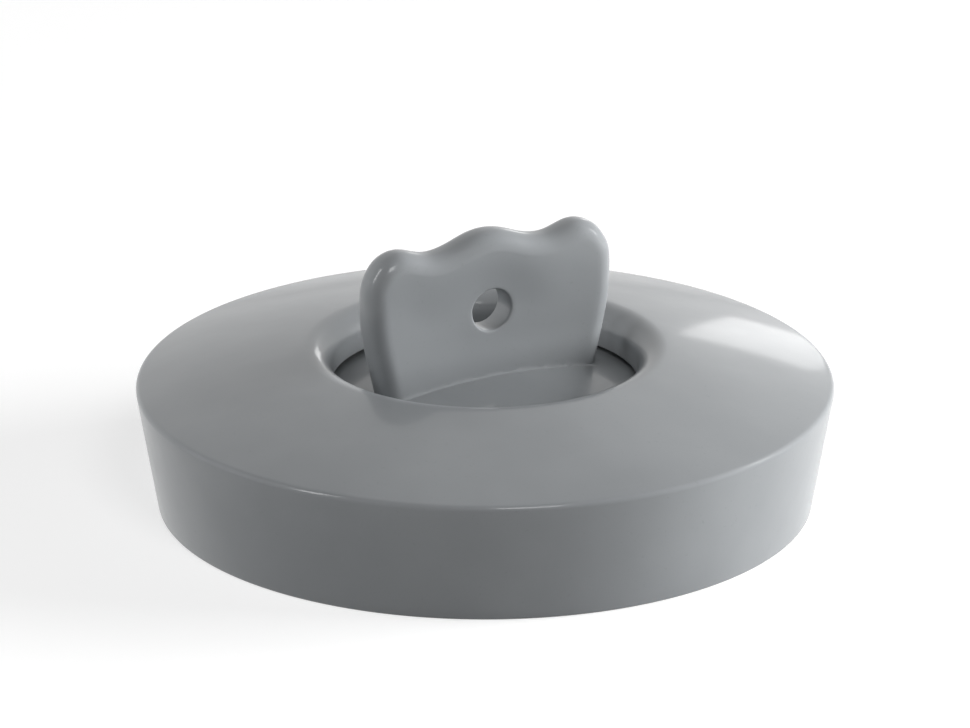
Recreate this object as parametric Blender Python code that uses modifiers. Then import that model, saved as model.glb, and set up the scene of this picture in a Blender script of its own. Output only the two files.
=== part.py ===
"""Multi-size sink plug: a rubber plug with a finger grip, and three loose rings that nest over it.

Each ring makes the plug fit the next larger waste. The pieces stand nested, as they are kept and used.
Metres, +Z up, origin on the common axis at the level of the feet. The grip runs along X.
"""

from math import asin, atan, cos, pi, radians, sin, sqrt, tan

import bmesh
import bpy
import numpy as np
from mathutils import Vector

# The plug proper
PLUG_RADIUS = 0.0201
PLUG_HEIGHT = 0.0090
PLUG_DOME_SLOPE = 0.350
PLUG_WALL = 0.0019
PLUG_DOME_WALL = 0.0025
HOLLOW_DRAFT = radians(6)

# What the rings share
RING_NAMES = ("inner_ring", "middle_ring", "outer_ring")
RING_STEP = 0.00375
RIM_RISE = 0.00075
RING_DOME_SLOPE = 0.300
BORE_ROLLS = (0.0006, 0.0017, 0.0023)
FOOT_HEIGHTS = (0.00095, 0.0, 0.0)
LIP_WALL = 0.0010
CAVITY_DRAFT = radians(1)
NEST_GAP = 0.0003

# What every piece shares
WALL_TAPER = radians(10)
RIM_ROUND = 0.0005
FOOT_ROUND = 0.0003

# The finger grip, moulded in one with the plug
GRIP_LENGTH = 0.0249
GRIP_FOOT_LENGTH = 0.0215
GRIP_HEIGHT = 0.0168
GRIP_THICKNESS = 0.0036
GRIP_WAIST = 0.0026
GRIP_EDGE = 0.0016
GRIP_ROOT = 0.0008
GRIP_PASS = 0.00125
GRIP_DIP = 0.0013
GRIP_DIP_AT = 0.0055
GRIP_HUMP_DROP = 0.0007
GRIP_HUMP_AT = 0.0098
GRIP_SHOULDER_DROP = 0.0026
GRIP_SHOULDER_INSET = 0.0005
GRIP_BULGE_DROP = 0.0052
BEAD_WIDTH = 0.0013
DISH_FADE = 0.0056
FOOT_FADE = 0.0050
HOLE_RADIUS = 0.00195
HOLE_DROP = 0.0073

# How finely the forms are made
TURN_STEPS = 56
DOME_STEPS = 4
ROLL_STEPS = 4
FILLET_STEPS = 2
INNER_FILLET_STEPS = 1
OUTLINE_STEPS = 6
EDGE_STEPS = 3
FACE_SHARES = (0.18, 0.38, 0.68, 1.0)
MERGE_DISTANCE = 0.000005
SHARP_ANGLE = radians(35)

RUBBER_GREY = (0.200, 0.212, 0.222, 1.0)
RUBBER_ROUGHNESS = 0.42


def start_scene():
    """Empties the scene and adds a collection for the parts and one for what is joined to them."""
    for thing in list(bpy.data.objects):
        bpy.data.objects.remove(thing, do_unlink=True)
    parts = bpy.data.collections.new("sink_plug")
    tools = bpy.data.collections.new("tools")
    for collection in (parts, tools):
        bpy.context.scene.collection.children.link(collection)
    return parts, tools


def rubber(name):
    """A satin grey rubber of its own for one piece."""
    material = bpy.data.materials.new(name + "_rubber")
    material.use_nodes = True
    shader = material.node_tree.nodes["Principled BSDF"]
    shader.inputs["Base Color"].default_value = RUBBER_GREY
    shader.inputs["Roughness"].default_value = RUBBER_ROUGHNESS
    shader.inputs["Metallic"].default_value = 0.0
    return material


def fillet(before, corner, after, radius, steps=FILLET_STEPS):
    """Points of the tangent arc that rounds one corner of a profile."""
    before, corner, after = Vector(before), Vector(corner), Vector(after)
    back = (before - corner).normalized()
    on = (after - corner).normalized()
    half_angle = back.angle(on) / 2
    centre = corner + (back + on).normalized() * radius / sin(half_angle)
    first = (corner + back * radius / tan(half_angle) - centre).normalized()
    last = (corner + on * radius / tan(half_angle) - centre).normalized()
    return [centre + first.slerp(last, step / steps) * radius for step in range(steps + 1)]


class Dome:
    """A spherical top that meets its rim at a given slope."""

    def __init__(self, rim_radius, rim_height, slope):
        self.rim_radius = rim_radius
        self.sphere = rim_radius / sin(atan(slope))
        self.centre_height = rim_height - sqrt(self.sphere**2 - rim_radius**2)

    def height(self, radius, offset=0.0):
        """The height at a radius, on the dome or on a sphere offset from it."""
        return self.centre_height + sqrt((self.sphere + offset) ** 2 - radius**2)

    def points(self, start, end, steps, offset=0.0):
        """Points along the dome from one radius to another, offset by a wall or a clearance."""
        radii = (start + (end - start) * step / steps for step in range(steps + 1))
        return [Vector((radius, self.height(radius, offset))) for radius in radii]


class Ring:
    """Where one ring lies: its rim, foot, bore and the rolled edge of its bore."""

    def __init__(self, index):
        above = len(RING_NAMES) - 1 - index
        self.name = RING_NAMES[index]
        self.rim_radius = PLUG_RADIUS + (index + 1) * RING_STEP
        self.rim_height = PLUG_HEIGHT + (index + 1) * RIM_RISE
        self.foot_height = FOOT_HEIGHTS[index]
        self.bore = GRIP_LENGTH / 2 + GRIP_PASS + above * (LIP_WALL + NEST_GAP)
        self.dome = Dome(self.rim_radius, self.rim_height, RING_DOME_SLOPE)
        self.roll = BORE_ROLLS[index]
        self.roll_centre = self.bore + self.roll
        self.roll_height = self.dome.height(self.roll_centre, -self.roll)
        self.roll_end = pi / 2 - asin(self.roll_centre / (self.dome.sphere - self.roll))

    def rolled_edge(self, offset=0.0):
        """Points of the rolled edge of the bore, from the bore up to where it meets the dome."""
        turns = (pi + (self.roll_end - pi) * step / ROLL_STEPS for step in range(ROLL_STEPS + 1))
        radius = self.roll + offset
        return [
            Vector((self.roll_centre + radius * cos(turn), self.roll_height + radius * sin(turn)))
            for turn in turns
        ]


PLUG_DOME = Dome(PLUG_RADIUS, PLUG_HEIGHT, PLUG_DOME_SLOPE)
GRIP_TOP = PLUG_HEIGHT + GRIP_HEIGHT


def wall_foot(rim_radius, rim_height, foot_height):
    """Where a tapered wall that starts at a rim reaches its foot."""
    return (rim_radius - (rim_height - foot_height) * tan(WALL_TAPER), foot_height)


def ring_profile(ring, below):
    """The closed section of one ring: up its bore, over the dome, down the wall and back inside."""
    rim = (ring.rim_radius, ring.rim_height)
    foot = wall_foot(ring.rim_radius, ring.rim_height, ring.foot_height)
    seat = below.dome if below else PLUG_DOME
    cavity = seat.rim_radius + NEST_GAP
    roll = ring.rolled_edge()
    dome = ring.dome.points(roll[-1].x, ring.rim_radius, DOME_STEPS)
    lip_end = Vector((ring.bore, PLUG_DOME.height(ring.bore, NEST_GAP)))
    clear_roll = below.rolled_edge(NEST_GAP)[::-1] if below else [lip_end]
    under = seat.points(cavity, clear_roll[0].x, DOME_STEPS - 1, NEST_GAP)
    ceiling = under[0]
    mouth = (cavity + (ceiling.y - ring.foot_height) * tan(CAVITY_DRAFT), ring.foot_height)

    points = roll + dome[1:-1]
    points += fillet(dome[-2], rim, foot, RIM_ROUND)
    points += fillet(rim, foot, mouth, FOOT_ROUND)
    points += fillet(foot, mouth, ceiling, FOOT_ROUND, INNER_FILLET_STEPS)
    points += under[:-1] + clear_roll
    if below:
        points += [lip_end + Vector((LIP_WALL, 0.0)), lip_end]
    return points


def plug_profile():
    """The section of the plug from its crown over the rim, the foot and the hollow to the axis."""
    rim = (PLUG_RADIUS, PLUG_HEIGHT)
    foot = wall_foot(PLUG_RADIUS, PLUG_HEIGHT, 0.0)
    mouth = (foot[0] - PLUG_WALL, 0.0)
    dome = PLUG_DOME.points(0.0, PLUG_RADIUS, DOME_STEPS + 1)
    hollow = mouth[0] - (PLUG_HEIGHT - PLUG_DOME_WALL) * tan(HOLLOW_DRAFT)
    under = PLUG_DOME.points(hollow, 0.0, DOME_STEPS - 1, -PLUG_DOME_WALL)
    points = dome[:-1]
    points += fillet(dome[-2], rim, foot, RIM_ROUND)
    points += fillet(rim, foot, mouth, FOOT_ROUND)
    points += fillet(foot, mouth, under[0], FOOT_ROUND, INNER_FILLET_STEPS)
    points += fillet(mouth, under[0], under[1], RIM_ROUND, INNER_FILLET_STEPS)
    points += under[1:]
    return points


def turned(name, points, closed, collection):
    """A turned piece: the profile spun about the vertical axis."""
    mesh = bpy.data.meshes.new(name)
    edges = [(index, index + 1) for index in range(len(points) - 1)]
    if closed:
        edges.append((len(points) - 1, 0))
    mesh.from_pydata([(point.x, 0.0, point.y) for point in points], edges, [])
    piece = bpy.data.objects.new(name, mesh)
    collection.objects.link(piece)
    screw = piece.modifiers.new("turn", "SCREW")
    screw.axis = "Z"
    screw.angle = 2 * pi
    screw.steps = TURN_STEPS
    screw.render_steps = TURN_STEPS
    screw.use_merge_vertices = True
    screw.merge_threshold = MERGE_DISTANCE
    screw.use_smooth_shade = True
    return piece


def fix_shape(piece):
    """Replaces a piece's mesh by what its modifiers make, with smooth faces and sharp corners."""
    evaluated = piece.evaluated_get(bpy.context.evaluated_depsgraph_get())
    mesh = bpy.data.meshes.new_from_object(evaluated)
    piece.modifiers.clear()
    piece.data = mesh
    mesh.shade_smooth()
    mesh.set_sharp_from_angle(angle=SHARP_ANGLE)


def grip_outline():
    """The grip's outline as a closed loop (across, height): a crown top on ends that narrow to the foot."""
    half = GRIP_LENGTH / 2
    foot_half = GRIP_FOOT_LENGTH / 2
    side = [
        (foot_half, PLUG_DOME.height(foot_half) - GRIP_ROOT),
        (half, GRIP_TOP - GRIP_BULGE_DROP),
        (half - GRIP_SHOULDER_INSET, GRIP_TOP - GRIP_SHOULDER_DROP),
        (GRIP_HUMP_AT, GRIP_TOP - GRIP_HUMP_DROP),
        (GRIP_DIP_AT, GRIP_TOP - GRIP_DIP),
    ]
    corners = side + [(0.0, GRIP_TOP)] + [(-across, height) for across, height in reversed(side)]
    curve = bpy.data.curves.new("grip_outline", "CURVE")
    curve.resolution_u = OUTLINE_STEPS
    spline = curve.splines.new("BEZIER")
    spline.bezier_points.add(len(corners) - 1)
    spline.use_cyclic_u = True
    for point, (across, height) in zip(spline.bezier_points, corners):
        point.co = (across, height, 0.0)
        point.handle_left_type = point.handle_right_type = "AUTO"
    for foot in (spline.bezier_points[0], spline.bezier_points[-1]):
        foot.handle_left_type = foot.handle_right_type = "VECTOR"
    guide = bpy.data.objects.new("grip_outline", curve)
    bpy.context.scene.collection.objects.link(guide)
    bpy.context.view_layer.update()
    evaluated = guide.evaluated_get(bpy.context.evaluated_depsgraph_get())
    mesh = bpy.data.meshes.new_from_object(evaluated)
    bpy.data.objects.remove(guide, do_unlink=True)
    outline = np.array([vertex.co[:2] for vertex in mesh.vertices])
    shares = np.arange(1, OUTLINE_STEPS)[:, None] / OUTLINE_STEPS
    return np.vstack([outline, outline[-1] + (outline[0] - outline[-1]) * shares])


def inward(outline):
    """Which way each outline point draws in as the edge rounds over; the buried foot only gets shorter."""
    run = np.roll(outline, -1, axis=0) - np.roll(outline, 1, axis=0)
    ways = np.column_stack([-run[:, 1], run[:, 0]])
    ways /= np.linalg.norm(ways, axis=1, keepdims=True)
    foot = outline[:, 1] < outline[0, 1] + GRIP_ROOT / 2
    ways[foot] = outline[foot] * (-2 / GRIP_FOOT_LENGTH, 0.0)
    return ways


def eased(share):
    """A share held between 0 and 1 that leaves both ends smoothly."""
    share = np.clip(share, 0.0, 1.0)
    return share * share * (3 - 2 * share)


def half_thickness(places, outline):
    """Half the grip's thickness at places on its face: a bead along its edge round a dished middle."""
    across = np.abs(places[:, 0])
    height = places[:, 1]
    foot_level = PLUG_DOME.height(GRIP_FOOT_LENGTH / 2)
    bulge_level = GRIP_TOP - GRIP_BULGE_DROP
    side = np.interp(height, (foot_level, bulge_level), (GRIP_FOOT_LENGTH / 2, GRIP_LENGTH / 2))
    crown = outline[(outline[:, 0] >= 0.0) & (outline[:, 1] > bulge_level)][::-1]
    top = np.interp(across, crown[:, 0], crown[:, 1])
    dish = eased((side - across - BEAD_WIDTH) / DISH_FADE) * eased((top - height - BEAD_WIDTH) / DISH_FADE)
    dish *= eased((height - foot_level) / FOOT_FADE)
    return GRIP_THICKNESS / 2 - (GRIP_THICKNESS - GRIP_WAIST) / 2 * dish


def grip_face():
    """Loops over one face of the grip, from its rounded edge to its hole, as (across, depth, height)."""
    outline = grip_outline()
    ways = inward(outline)
    middle = np.array([0.0, GRIP_TOP - HOLE_DROP])
    rows = []
    for step in range(EDGE_STEPS + 1):
        turn = pi / 2 * step / EDGE_STEPS
        edge = outline + ways * GRIP_EDGE * (1 - cos(turn))
        rows.append((edge, np.full(len(edge), GRIP_THICKNESS / 2 - GRIP_EDGE * (1 - sin(turn)))))
    rays = edge - middle
    mouth = middle + rays / np.linalg.norm(rays, axis=1, keepdims=True) * HOLE_RADIUS
    for share in FACE_SHARES:
        places = edge + (mouth - edge) * share
        rows.append((places, half_thickness(places, outline)))
    return [np.column_stack([places[:, 0], depth, places[:, 1]]) for places, depth in rows]


def grip_mesh():
    """The grip as a closed loft: in over the front from edge to hole, and out again over the back."""
    back = grip_face()
    loops = [loop * (1, -1, 1) for loop in back] + back[::-1]
    count = len(loops)
    around = len(loops[0])
    faces = []
    for loop in range(count):
        here = loop * around
        on = (loop + 1) % count * around
        for spot in range(around):
            side = (spot + 1) % around
            faces.append((here + spot, here + side, on + side, on + spot))
    mesh = bpy.data.meshes.new("grip")
    mesh.from_pydata(np.vstack(loops).tolist(), [], faces)
    shape = bmesh.new()
    shape.from_mesh(mesh)
    bmesh.ops.recalc_face_normals(shape, faces=shape.faces)
    shape.to_mesh(mesh)
    shape.free()
    return mesh


def make_plug(parts, tools):
    """The plug with its grip: a turned body and a lofted grip, joined into one solid."""
    grip = bpy.data.objects.new("grip", grip_mesh())
    tools.objects.link(grip)
    grip.display_type = "WIRE"
    grip.hide_render = True
    plug = turned("core_plug", plug_profile(), False, parts)
    union = plug.modifiers.new("grip", "BOOLEAN")
    union.operation = "UNION"
    union.solver = "EXACT"
    union.object = grip
    return plug


def main():
    parts, tools = start_scene()
    pieces = [make_plug(parts, tools)]
    rings = [Ring(index) for index in range(len(RING_NAMES))]
    for ring, below in zip(rings, [None] + rings[:-1]):
        pieces.append(turned(ring.name, ring_profile(ring, below), True, parts))
    bpy.context.view_layer.update()
    for piece in pieces:
        fix_shape(piece)
        piece.data.materials.clear()
        piece.data.materials.append(rubber(piece.name))


main()
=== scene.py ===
"""Looks of the nested sink plug: three domed rings over a plug with a finger grip, in satin grey rubber.

Each node of the frame is replaced by a fine mesh of the same form, in metres.
"""

from math import asin, atan, cos, pi, radians, sin, sqrt, tan

import bmesh
import bpy
import numpy as np
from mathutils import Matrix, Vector


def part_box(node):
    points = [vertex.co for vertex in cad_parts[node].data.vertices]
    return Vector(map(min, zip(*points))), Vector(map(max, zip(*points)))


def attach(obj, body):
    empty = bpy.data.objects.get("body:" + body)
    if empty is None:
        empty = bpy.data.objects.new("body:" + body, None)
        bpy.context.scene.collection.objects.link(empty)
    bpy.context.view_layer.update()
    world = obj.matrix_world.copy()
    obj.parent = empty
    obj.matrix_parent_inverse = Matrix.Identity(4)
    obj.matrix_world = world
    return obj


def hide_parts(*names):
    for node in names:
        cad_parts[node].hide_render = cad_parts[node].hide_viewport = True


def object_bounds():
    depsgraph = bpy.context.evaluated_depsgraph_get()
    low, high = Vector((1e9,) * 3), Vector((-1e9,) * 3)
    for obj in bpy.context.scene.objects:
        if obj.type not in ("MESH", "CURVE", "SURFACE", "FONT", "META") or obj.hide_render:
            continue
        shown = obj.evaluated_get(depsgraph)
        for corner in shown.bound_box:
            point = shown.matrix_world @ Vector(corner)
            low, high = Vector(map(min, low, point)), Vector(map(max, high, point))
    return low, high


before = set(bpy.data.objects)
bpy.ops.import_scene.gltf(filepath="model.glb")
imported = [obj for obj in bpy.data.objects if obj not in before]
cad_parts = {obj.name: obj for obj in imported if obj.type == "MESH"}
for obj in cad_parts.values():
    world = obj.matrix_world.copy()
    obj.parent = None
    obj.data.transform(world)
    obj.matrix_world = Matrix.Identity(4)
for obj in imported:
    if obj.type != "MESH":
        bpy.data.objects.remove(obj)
cad_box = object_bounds()

# The plug and its rings: sizes that the frame's boxes don't give
RING_NAMES = ("inner_ring", "middle_ring", "outer_ring")
PLUG_RADIUS = 0.0201
PLUG_HEIGHT = 0.0090
PLUG_DOME_SLOPE = 0.350
PLUG_WALL = 0.0019
PLUG_DOME_WALL = 0.0025
HOLLOW_DRAFT = radians(6)
RING_STEP = 0.00375
RIM_RISE = 0.00075
RING_DOME_SLOPE = 0.300
BORE_ROLLS = (0.0006, 0.0017, 0.0023)
LIP_WALL = 0.0010
CAVITY_DRAFT = radians(1)
NEST_GAP = 0.0003
WALL_TAPER = radians(10)
RIM_ROUND = 0.0005
FOOT_ROUND = 0.0003
LIP_ROUND = 0.0002

# The grip
GRIP_LENGTH = 0.0249
GRIP_FOOT_LENGTH = 0.0215
GRIP_THICKNESS = 0.0036
GRIP_WAIST = 0.0026
GRIP_EDGE = 0.0016
GRIP_ROOT = 0.0008
ROOT_BLEND = 0.0006
GRIP_PASS = 0.00125
GRIP_DIP = 0.0013
GRIP_DIP_AT = 0.0055
GRIP_HUMP_DROP = 0.0007
GRIP_HUMP_AT = 0.0098
GRIP_SHOULDER_DROP = 0.0026
GRIP_SHOULDER_INSET = 0.0005
GRIP_BULGE_DROP = 0.0052
BEAD_WIDTH = 0.0013
DISH_FADE = 0.0056
FOOT_FADE = 0.0050
ROOT_FILLET = 0.0003
ROOT_SINK = 0.0001
HOLE_RADIUS = 0.00195
HOLE_DROP = 0.0073
HOLE_EDGE = 0.00022

# How finely the meshes are made
TURN_STEPS = 240
DOME_STEPS = 22
ROLL_STEPS = 14
FILLET_STEPS = 7
LIP_STEPS = 3
RING_WALL_STEPS = 10
CAVITY_STEPS = 8
PLUG_WALL_STEPS = 8
HOLLOW_STEPS = 6
OUTLINE_STEPS = 40
NORMAL_REACH = 2
GRIP_AROUND = 360
GRIP_EDGE_STEPS = 9
GRIP_FACE_STEPS = 22
GRIP_HOLE_STEPS = 5
POLE_MERGE = 0.000005
SHORTEST = 1e-9
SHARP_ANGLE = radians(38)

# The rubber: linear colours, the scales of its noises, the depths of its bumps, and its gloss
GREY_LOW = (0.196, 0.207, 0.216, 1.0)
GREY_HIGH = (0.232, 0.244, 0.253, 1.0)
GREY_SPECK = (0.165, 0.175, 0.184, 1.0)
DRIFT_SCALE = 48.0
SPECK_SCALE = 2600.0
SPECK_AMOUNT = 0.35
SATIN_SCALE = 130.0
ROUGHNESS_LOW = 0.29
ROUGHNESS_HIGH = 0.35
SWELL_SCALE = 170.0
SWELL_STRENGTH = 0.5
SWELL_DEPTH = 0.00008
GRAIN_SCALE = 5200.0
GRAIN_STRENGTH = 0.15
GRAIN_DEPTH = 0.000012
SPECULAR_LEVEL = 0.2
COAT_WEIGHT = 0.45
COAT_ROUGHNESS = 0.09

# The floor and the surround
WHITE = (1.0, 1.0, 1.0, 1.0)
FLOOR_SIZE = 6.0
FLOOR_TONE = (0.50, 0.50, 0.50, 1.0)
FLOOR_LIFT = 0.60
WORLD_LEVEL = 0.12

# The photograph's view: where the camera looks from, and how much of its width the part takes
VIEW_AZIMUTH = radians(-29)
VIEW_ELEVATION = radians(20.5)
VIEW_DISTANCE = 0.90
PART_SHARE = 0.72
SENSOR_WIDTH = 36.0
AIM = (cad_box[0] + cad_box[1]) / 2


class Dome:
    """A spherical top that meets its rim at a given slope."""

    def __init__(self, rim_radius, rim_height, slope):
        self.rim_radius = rim_radius
        self.rim_height = rim_height
        self.sphere = rim_radius / sin(atan(slope))
        self.centre_height = rim_height - sqrt(self.sphere**2 - rim_radius**2)

    def height(self, radius, offset=0.0):
        """The height at a radius, on the dome or on a sphere offset from it."""
        return self.centre_height + sqrt((self.sphere + offset) ** 2 - radius**2)

    def points(self, start, end, steps, offset=0.0):
        """Points along the dome from one radius to another, offset by a wall or a clearance."""
        radii = (start + (end - start) * step / steps for step in range(steps + 1))
        return [Vector((radius, self.height(radius, offset))) for radius in radii]


class Ring:
    """Where one ring lies: its rim, foot, bore and the rolled edge of its bore."""

    def __init__(self, index):
        above = len(RING_NAMES) - 1 - index
        rim_height = PLUG_HEIGHT + (index + 1) * RIM_RISE
        self.name = RING_NAMES[index]
        self.foot_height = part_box(self.name)[0].z
        self.bore = GRIP_LENGTH / 2 + GRIP_PASS + above * (LIP_WALL + NEST_GAP)
        self.dome = Dome(PLUG_RADIUS + (index + 1) * RING_STEP, rim_height, RING_DOME_SLOPE)
        self.roll = BORE_ROLLS[index]
        self.roll_centre = self.bore + self.roll
        self.roll_height = self.dome.height(self.roll_centre, -self.roll)
        self.roll_end = pi / 2 - asin(self.roll_centre / (self.dome.sphere - self.roll))

    def rolled_edge(self, offset=0.0):
        """Points of the rolled edge of the bore, from the bore up to where it meets the dome."""
        turns = (pi + (self.roll_end - pi) * step / ROLL_STEPS for step in range(ROLL_STEPS + 1))
        radius = self.roll + offset
        return [
            Vector((self.roll_centre + radius * cos(turn), self.roll_height + radius * sin(turn)))
            for turn in turns
        ]


PLUG_DOME = Dome(PLUG_RADIUS, PLUG_HEIGHT, PLUG_DOME_SLOPE)
GRIP_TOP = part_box("core_plug")[1].z


def fillet(before, corner, after, radius, steps=FILLET_STEPS):
    """Points of the tangent arc that rounds one corner of a profile."""
    before, corner, after = Vector(before), Vector(corner), Vector(after)
    back = (before - corner).normalized()
    on = (after - corner).normalized()
    half_angle = back.angle(on) / 2
    centre = corner + (back + on).normalized() * radius / sin(half_angle)
    first = (corner + back * radius / tan(half_angle) - centre).normalized()
    last = (corner + on * radius / tan(half_angle) - centre).normalized()
    return [centre + first.slerp(last, step / steps) * radius for step in range(steps + 1)]


def line(start, end, steps):
    """Points between two corners of a profile, without the corners."""
    start, end = Vector(start), Vector(end)
    return [start.lerp(end, step / steps) for step in range(1, steps)]


def ring_profile(ring, below):
    """The closed section of one ring: up its bore, over the dome, down the wall and back inside."""
    rim = Vector((ring.dome.rim_radius, ring.dome.rim_height))
    drop = ring.dome.rim_height - ring.foot_height
    foot = Vector((rim.x - drop * tan(WALL_TAPER), ring.foot_height))
    seat = below.dome if below else PLUG_DOME
    cavity = seat.rim_radius + NEST_GAP
    roll = ring.rolled_edge()
    dome = ring.dome.points(roll[-1].x, rim.x, DOME_STEPS)
    lip_end = Vector((ring.bore, PLUG_DOME.height(ring.bore, NEST_GAP)))
    clear_roll = below.rolled_edge(NEST_GAP)[::-1] if below else []
    under = seat.points(cavity, clear_roll[0].x if below else ring.bore, DOME_STEPS, NEST_GAP)
    ceiling = under[0]
    mouth = Vector((cavity + (ceiling.y - ring.foot_height) * tan(CAVITY_DRAFT), ring.foot_height))

    points = roll + dome[1:-1]
    wall_top = fillet(dome[-2], rim, foot, RIM_ROUND)
    foot_out = fillet(rim, foot, mouth, FOOT_ROUND)
    foot_in = fillet(foot, mouth, ceiling, FOOT_ROUND)
    points += wall_top + line(wall_top[-1], foot_out[0], RING_WALL_STEPS) + foot_out + foot_in
    points += line(foot_in[-1], ceiling, CAVITY_STEPS) + under[:-1]
    if below:
        lip_back = Vector((ring.bore + LIP_WALL, lip_end.y))
        points += clear_roll + fillet(clear_roll[-1], lip_back, lip_end, LIP_ROUND, LIP_STEPS)
        points += fillet(lip_back, lip_end, roll[0], LIP_ROUND, LIP_STEPS)
    else:
        points += [lip_end]
    return points


def plug_profile():
    """The section of the plug from its crown over the rim, the foot and the hollow to the axis."""
    rim = Vector((PLUG_RADIUS, PLUG_HEIGHT))
    foot = Vector((PLUG_RADIUS - PLUG_HEIGHT * tan(WALL_TAPER), 0.0))
    mouth = Vector((foot.x - PLUG_WALL, 0.0))
    dome = PLUG_DOME.points(0.0, PLUG_RADIUS, DOME_STEPS)
    hollow = mouth.x - (PLUG_HEIGHT - PLUG_DOME_WALL) * tan(HOLLOW_DRAFT)
    under = PLUG_DOME.points(hollow, 0.0, DOME_STEPS, -PLUG_DOME_WALL)
    wall_top = fillet(dome[-2], rim, foot, RIM_ROUND)
    foot_out = fillet(rim, foot, mouth, FOOT_ROUND)
    foot_in = fillet(foot, mouth, under[0], FOOT_ROUND)
    corner = fillet(mouth, under[0], under[1], RIM_ROUND)
    points = dome[:-1] + wall_top + line(wall_top[-1], foot_out[0], PLUG_WALL_STEPS)
    points += foot_out + foot_in + line(foot_in[-1], corner[0], HOLLOW_STEPS)
    return points + corner + under[1:]


def turned(name, profile, closed):
    """A fine mesh of a profile spun about the vertical axis, with a single point at each pole."""
    mesh = bpy.data.meshes.new(name)
    edges = [(index, index + 1) for index in range(len(profile) - 1)]
    if closed:
        edges.append((len(profile) - 1, 0))
    mesh.from_pydata([(point.x, 0.0, point.y) for point in profile], edges, [])
    piece = bpy.data.objects.new(name, mesh)
    bpy.context.scene.collection.objects.link(piece)
    screw = piece.modifiers.new("turn", "SCREW")
    screw.steps = screw.render_steps = TURN_STEPS
    screw.use_merge_vertices = True
    screw.merge_threshold = POLE_MERGE
    return piece


def grip_outline():
    """The grip's outline as an even loop of points (across, height), from the foot and up the right."""
    half, foot_half = GRIP_LENGTH / 2, GRIP_FOOT_LENGTH / 2
    side = [
        (foot_half, PLUG_DOME.height(foot_half) - GRIP_ROOT),
        (half, GRIP_TOP - GRIP_BULGE_DROP),
        (half - GRIP_SHOULDER_INSET, GRIP_TOP - GRIP_SHOULDER_DROP),
        (GRIP_HUMP_AT, GRIP_TOP - GRIP_HUMP_DROP),
        (GRIP_DIP_AT, GRIP_TOP - GRIP_DIP),
    ]
    corners = side + [(0.0, GRIP_TOP)] + [(-across, height) for across, height in reversed(side)]
    curve = bpy.data.curves.new("grip_outline", "CURVE")
    curve.resolution_u = OUTLINE_STEPS
    spline = curve.splines.new("BEZIER")
    spline.bezier_points.add(len(corners) - 1)
    spline.use_cyclic_u = True
    for point, (across, height) in zip(spline.bezier_points, corners):
        point.co = (across, height, 0.0)
        point.handle_left_type = point.handle_right_type = "AUTO"
    for foot in (spline.bezier_points[0], spline.bezier_points[-1]):
        foot.handle_left_type = foot.handle_right_type = "VECTOR"
    guide = bpy.data.objects.new("grip_outline", curve)
    bpy.context.scene.collection.objects.link(guide)
    bpy.context.view_layer.update()
    mesh = bpy.data.meshes.new_from_object(guide.evaluated_get(bpy.context.evaluated_depsgraph_get()))
    fine = np.array([vertex.co[:2] for vertex in mesh.vertices])
    bpy.data.objects.remove(guide, do_unlink=True)

    closed = np.vstack([fine, fine[:1]])
    along = np.concatenate([[0.0], np.cumsum(np.linalg.norm(np.diff(closed, axis=0), axis=1))])
    places = np.linspace(0.0, along[-1], GRIP_AROUND, endpoint=False)
    return np.column_stack([np.interp(places, along, closed[:, axis]) for axis in (0, 1)])


def inward(outline):
    """The inward normal at each point of a counter-clockwise loop, smoothed over its neighbours."""
    run = np.roll(outline, -NORMAL_REACH, axis=0) - np.roll(outline, NORMAL_REACH, axis=0)
    normal = np.column_stack([-run[:, 1], run[:, 0]])
    return normal / np.linalg.norm(normal, axis=1, keepdims=True)


def eased(share):
    """A share held between 0 and 1 that leaves both ends smoothly."""
    share = np.clip(share, 0.0, 1.0)
    return share * share * (3 - 2 * share)


def half_thickness(places, outline):
    """Half the grip's thickness at places on its face: a bead along its edge round a dished middle."""
    across = np.abs(places[:, 0])
    height = places[:, 1]
    foot_level = PLUG_DOME.height(GRIP_FOOT_LENGTH / 2)
    bulge_level = GRIP_TOP - GRIP_BULGE_DROP
    side = np.interp(height, (foot_level, bulge_level), (GRIP_FOOT_LENGTH / 2, GRIP_LENGTH / 2))
    crown = outline[(outline[:, 0] >= 0.0) & (outline[:, 1] > bulge_level)][::-1]
    top = np.interp(across, crown[:, 0], crown[:, 1])
    dish = 1.0 - np.clip(across / (side - BEAD_WIDTH), 0.0, 1.0) ** 2
    dish *= eased((top - height - BEAD_WIDTH) / DISH_FADE) * eased((height - foot_level) / FOOT_FADE)
    return GRIP_THICKNESS / 2 - (GRIP_THICKNESS - GRIP_WAIST) / 2 * dish


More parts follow.
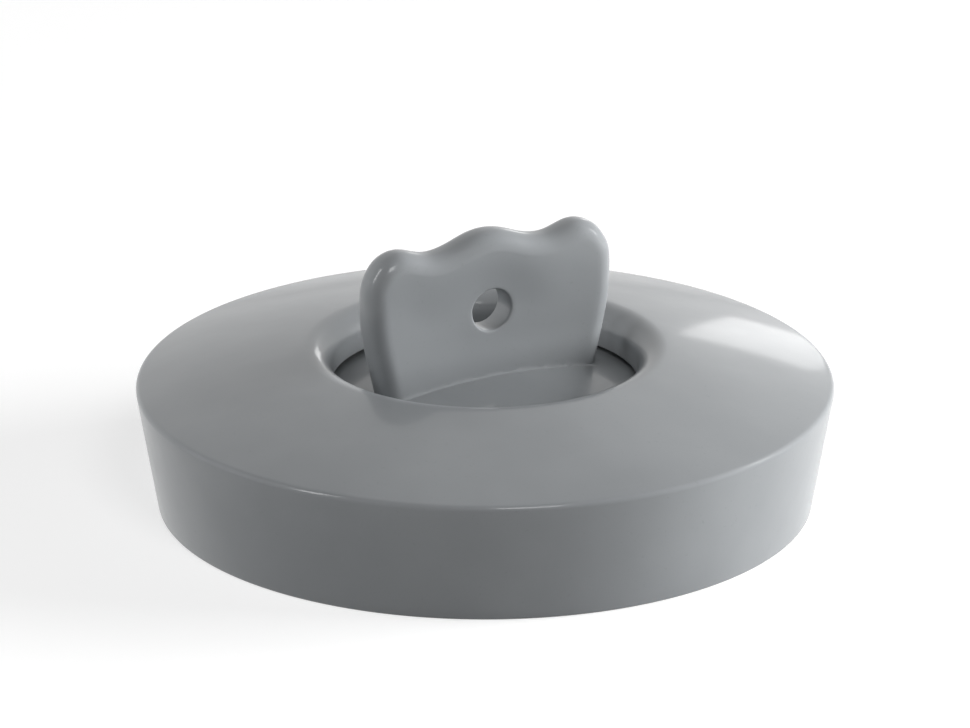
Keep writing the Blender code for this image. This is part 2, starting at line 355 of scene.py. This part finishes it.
def grip_rows():
    """Loops of points (across, depth, height) from the edge's mid-line over one face into the hole."""
    outline = grip_outline()
    normal = inward(outline)
    middle = np.array([0.0, GRIP_TOP - HOLE_DROP])
    flat = GRIP_THICKNESS / 2 - GRIP_EDGE
    buried = 1.0 - np.clip((outline[:, 1:] - outline[:, 1].min()) / ROOT_BLEND, 0.0, 1.0)
    squeeze = outline * (-2 / GRIP_FOOT_LENGTH, 0.0)
    rounding = GRIP_EDGE * (normal * (1 - buried) + squeeze * buried)
    rows = [(outline, np.zeros(len(outline)))]
    for step in range(GRIP_EDGE_STEPS + 1):
        turn = pi / 2 * step / GRIP_EDGE_STEPS
        place = outline + rounding * (1 - cos(turn))
        rows.append((place, np.full(len(outline), flat + GRIP_EDGE * sin(turn))))

    edge = rows[-1][0]
    ray = edge - middle
    ray /= np.linalg.norm(ray, axis=1, keepdims=True)
    mouth = middle + ray * (HOLE_RADIUS + HOLE_EDGE)
    for step in range(1, GRIP_FACE_STEPS + 1):
        place = edge + (mouth - edge) * step / GRIP_FACE_STEPS
        rows.append((place, half_thickness(place, outline)))
    mouth_depth = rows[-1][1]
    for step in range(1, GRIP_HOLE_STEPS + 1):
        turn = pi / 2 * step / GRIP_HOLE_STEPS
        place = middle + ray * (HOLE_RADIUS + HOLE_EDGE * (1 - sin(turn)))
        rows.append((place, mouth_depth - HOLE_EDGE * (1 - cos(turn))))
    return [np.column_stack([place[:, 0], depth, place[:, 1]]) for place, depth in rows]


def flare_at_root(points):
    """Widens the grip by a small fillet where it meets the dome, and below it."""
    reach = np.hypot(points[:, 0], points[:, 1])
    ground = PLUG_DOME.centre_height + np.sqrt(PLUG_DOME.sphere**2 - reach**2)
    rise = np.clip(points[:, 2] - ground + ROOT_SINK, 0.0, ROOT_FILLET)
    flare = ROOT_FILLET - np.sqrt(ROOT_FILLET**2 - (ROOT_FILLET - rise) ** 2)
    straight = GRIP_FOOT_LENGTH / 2 - GRIP_EDGE
    core = np.column_stack([np.clip(points[:, 0], -straight, straight), np.zeros(len(points))])
    away = points[:, :2] - core
    length = np.maximum(np.linalg.norm(away, axis=1, keepdims=True), SHORTEST)
    points[:, :2] += away / length * flare[:, None]
    return points


def grip_mesh():
    """The grip as one closed mesh: the rows of its front, into the hole, and out over its back."""
    back = grip_rows()
    loops = back[:1] + [row * (1, -1, 1) for row in back[1:]] + back[:0:-1]
    points = flare_at_root(np.vstack(loops))
    count, around = len(loops), GRIP_AROUND
    faces = [
        (
            loop * around + spot,
            loop * around + (spot + 1) % around,
            (loop + 1) % count * around + (spot + 1) % around,
            (loop + 1) % count * around + spot,
        )
        for loop in range(count)
        for spot in range(around)
    ]
    mesh = bpy.data.meshes.new("grip")
    mesh.from_pydata(points.tolist(), [], faces)
    shape = bmesh.new()
    shape.from_mesh(mesh)
    bmesh.ops.recalc_face_normals(shape, faces=shape.faces)
    shape.to_mesh(mesh)
    shape.free()
    return mesh


def fix_shape(piece):
    """Replaces a piece's mesh by what its modifiers make, with smooth faces and sharp corners."""
    bpy.context.view_layer.update()
    mesh = bpy.data.meshes.new_from_object(piece.evaluated_get(bpy.context.evaluated_depsgraph_get()))
    piece.modifiers.clear()
    piece.data = mesh
    mesh.shade_smooth()
    mesh.set_sharp_from_angle(angle=SHARP_ANGLE)


def make_plug():
    """The plug with its grip, joined into one closed mesh."""
    plug = turned("core_plug_rubber", plug_profile(), False)
    grip = bpy.data.objects.new("grip", grip_mesh())
    bpy.context.scene.collection.objects.link(grip)
    union = plug.modifiers.new("grip", "BOOLEAN")
    union.operation, union.solver, union.object = "UNION", "EXACT", grip
    fix_shape(plug)
    bpy.data.objects.remove(grip, do_unlink=True)
    return plug


def dress(piece, node, material):
    """Puts a finished piece in a node's place."""
    piece.data.materials.clear()
    piece.data.materials.append(material)
    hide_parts(node)
    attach(piece, "root")


class Nodes:
    """Short calls that add and link a material's nodes."""

    def __init__(self, name):
        self.material = bpy.data.materials.new(name)
        self.material.use_nodes = True
        self.tree = self.material.node_tree
        self.shader = self.tree.nodes["Principled BSDF"]
        self.place = self.tree.nodes.new("ShaderNodeTexCoord").outputs["Object"]

    def add(self, kind, links=(), **values):
        """A new node with its properties set, and each named socket linked or given its value."""
        node = self.tree.nodes.new("ShaderNode" + kind)
        for name, value in values.items():
            setattr(node, name, value)
        for socket, source in dict(links).items():
            if isinstance(source, bpy.types.NodeSocket):
                self.tree.links.new(source, node.inputs[socket])
            else:
                node.inputs[socket].default_value = source
        return node

    def noise(self, scale, detail=2.0, roughness=0.5):
        """A noise over the piece, between 0 and 1."""
        links = {"Vector": self.place, "Scale": scale, "Detail": detail, "Roughness": roughness}
        return self.add("TexNoise", links).outputs["Fac"]

    def spread(self, source, low, high, to_low, to_high):
        """A value moved from one range to another and held inside it."""
        links = {"Value": source, "From Min": low, "From Max": high}
        links |= {"To Min": to_low, "To Max": to_high}
        return self.add("MapRange", links).outputs["Result"]

    def link(self, source, socket):
        """Links a value to the shader."""
        self.tree.links.new(source, self.shader.inputs[socket])


def rubber(name):
    """Satin moulded rubber: a slow drift of tone, fine specks, a soft unevenness and a fine grain."""
    nodes = Nodes(name)
    drift = nodes.spread(nodes.noise(DRIFT_SCALE, 3.0), 0.35, 0.65, 0.0, 1.0)
    base = nodes.add("Mix", {"Factor": drift}, data_type="RGBA")
    base.inputs["A"].default_value, base.inputs["B"].default_value = GREY_LOW, GREY_HIGH
    specks = nodes.spread(nodes.noise(SPECK_SCALE, 4.0, 0.6), 0.62, 0.74, 0.0, SPECK_AMOUNT)
    colour = nodes.add("Mix", {"Factor": specks, "A": base.outputs["Result"]}, data_type="RGBA")
    colour.inputs["B"].default_value = GREY_SPECK
    nodes.link(colour.outputs["Result"], "Base Color")
    satin = nodes.spread(nodes.noise(SATIN_SCALE, 4.0), 0.3, 0.7, ROUGHNESS_LOW, ROUGHNESS_HIGH)
    nodes.link(satin, "Roughness")

    links = {"Height": nodes.noise(SWELL_SCALE), "Strength": SWELL_STRENGTH, "Distance": SWELL_DEPTH}
    swell = nodes.add("Bump", links)
    links = {"Height": nodes.noise(GRAIN_SCALE, 3.0), "Normal": swell.outputs["Normal"]}
    grain = nodes.add("Bump", links | {"Strength": GRAIN_STRENGTH, "Distance": GRAIN_DEPTH})
    nodes.link(grain.outputs["Normal"], "Normal")
    nodes.shader.inputs["Specular IOR Level"].default_value = SPECULAR_LEVEL
    nodes.shader.inputs["Coat Weight"].default_value = COAT_WEIGHT
    nodes.shader.inputs["Coat Roughness"].default_value = COAT_ROUGHNESS
    return nodes.material


def seen_or_mirrored(tree):
    """A value that is 1 for rays from the camera, from a mirror or through glass, and 0 for others."""
    rays = tree.nodes.new("ShaderNodeLightPath")
    value = rays.outputs["Is Camera Ray"]
    for ray in ("Is Glossy Ray", "Is Transmission Ray"):
        larger = tree.nodes.new("ShaderNodeMath")
        larger.operation = "MAXIMUM"
        tree.links.new(value, larger.inputs[0])
        tree.links.new(rays.outputs[ray], larger.inputs[1])
        value = larger.outputs[0]
    return value


def make_floor():
    """A plain white floor: a pale diffuse sheet, lifted to white where it is seen or mirrored."""
    mesh = bpy.data.meshes.new("floor")
    shape = bmesh.new()
    bmesh.ops.create_grid(shape, x_segments=1, y_segments=1, size=FLOOR_SIZE / 2)
    shape.to_mesh(mesh)
    shape.free()
    floor = bpy.data.objects.new("floor", mesh)
    bpy.context.scene.collection.objects.link(floor)

    nodes = Nodes("floor_white")
    lift = nodes.add("Math", {0: seen_or_mirrored(nodes.tree), 1: FLOOR_LIFT}, operation="MULTIPLY")
    nodes.shader.inputs["Base Color"].default_value = FLOOR_TONE
    nodes.shader.inputs["Roughness"].default_value = 1.0
    nodes.shader.inputs["Specular IOR Level"].default_value = 0.0
    nodes.shader.inputs["Emission Color"].default_value = WHITE
    nodes.link(lift.outputs[0], "Emission Strength")
    mesh.materials.append(nodes.material)


def make_world():
    """A plain grey surround for the light, white where it is seen or mirrored."""
    world = bpy.data.worlds.new("studio")
    bpy.context.scene.world = world
    world.use_nodes = True
    tree = world.node_tree
    background = tree.nodes["Background"]
    level = tree.nodes.new("ShaderNodeMapRange")
    level.inputs["To Min"].default_value = WORLD_LEVEL
    level.inputs["To Max"].default_value = 1.0
    tree.links.new(seen_or_mirrored(tree), level.inputs["Value"])
    tree.links.new(level.outputs["Result"], background.inputs["Strength"])
    background.inputs["Color"].default_value = WHITE


def heading(turn, elevation):
    """A direction from the part, turned to the right from the camera's side and raised from the floor."""
    azimuth = VIEW_AZIMUTH - pi / 2 + turn
    return Vector((cos(elevation) * cos(azimuth), cos(elevation) * sin(azimuth), sin(elevation)))


def add_lamp(name, turn, elevation, distance, width, height, level, mirrored=True):
    """A soft box that lights a facing white sheet at the part to a given share of white.

    The part's gloss shows it only where it is mirrored.
    """
    lamp = bpy.data.lights.new(name, "AREA")
    lamp.shape = "RECTANGLE"
    lamp.size, lamp.size_y = width, height
    lamp.energy = pi * pi * distance * distance * level
    box = bpy.data.objects.new(name, lamp)
    bpy.context.scene.collection.objects.link(box)
    direction = heading(radians(turn), radians(elevation))
    box.location = AIM + direction * distance
    box.rotation_euler = direction.to_track_quat("Z", "Y").to_euler()
    box.visible_camera = False
    box.visible_glossy = mirrored


def add_lamps():
    """A large box low on each side, the right one stronger, small ones behind and in front, and two strips.

    The large boxes are unmirrored, since they would burn the domes out in side views, and the narrow
    strips give the highlights in their place.
    """
    add_lamp("right_box", 96, 13, 0.50, 0.36, 0.24, 2.05, mirrored=False)
    add_lamp("right_strip", 101, 22, 0.50, 0.07, 0.20, 0.11)
    add_lamp("back_box", 168, 10, 0.55, 0.06, 0.10, 0.016)
    add_lamp("front_box", 16, 42, 0.55, 0.17, 0.17, 0.24)
    add_lamp("left_box", -98, 12, 0.50, 0.24, 0.24, 0.46, mirrored=False)
    add_lamp("left_strip", -61, 36, 0.50, 0.06, 0.22, 0.18)


def add_camera():
    """A long lens at the photograph's angle, framed on the whole part."""
    lens = bpy.data.cameras.new("camera")
    camera = bpy.data.objects.new("camera", lens)
    bpy.context.scene.collection.objects.link(camera)
    direction = heading(0.0, VIEW_ELEVATION)
    camera.location = AIM + direction * VIEW_DISTANCE
    camera.rotation_euler = direction.to_track_quat("Z", "Y").to_euler()
    lens.sensor_width = SENSOR_WIDTH
    part_width = 2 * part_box("outer_ring")[1].x
    lens.lens = SENSOR_WIDTH * PART_SHARE * VIEW_DISTANCE / part_width
    bpy.context.scene.camera = camera


def main():
    """Makes every piece, the stage, the light and the camera."""
    rings = [Ring(index) for index in range(len(RING_NAMES))]
    for ring, below in zip(rings, [None] + rings[:-1]):
        piece = turned(ring.name + "_rubber", ring_profile(ring, below), True)
        fix_shape(piece)
        dress(piece, ring.name, rubber(ring.name + "_grey"))
    dress(make_plug(), "core_plug", rubber("core_plug_grey"))
    make_floor()
    make_world()
    add_lamps()
    add_camera()
    bpy.context.scene.view_settings.view_transform = "Standard"


main()
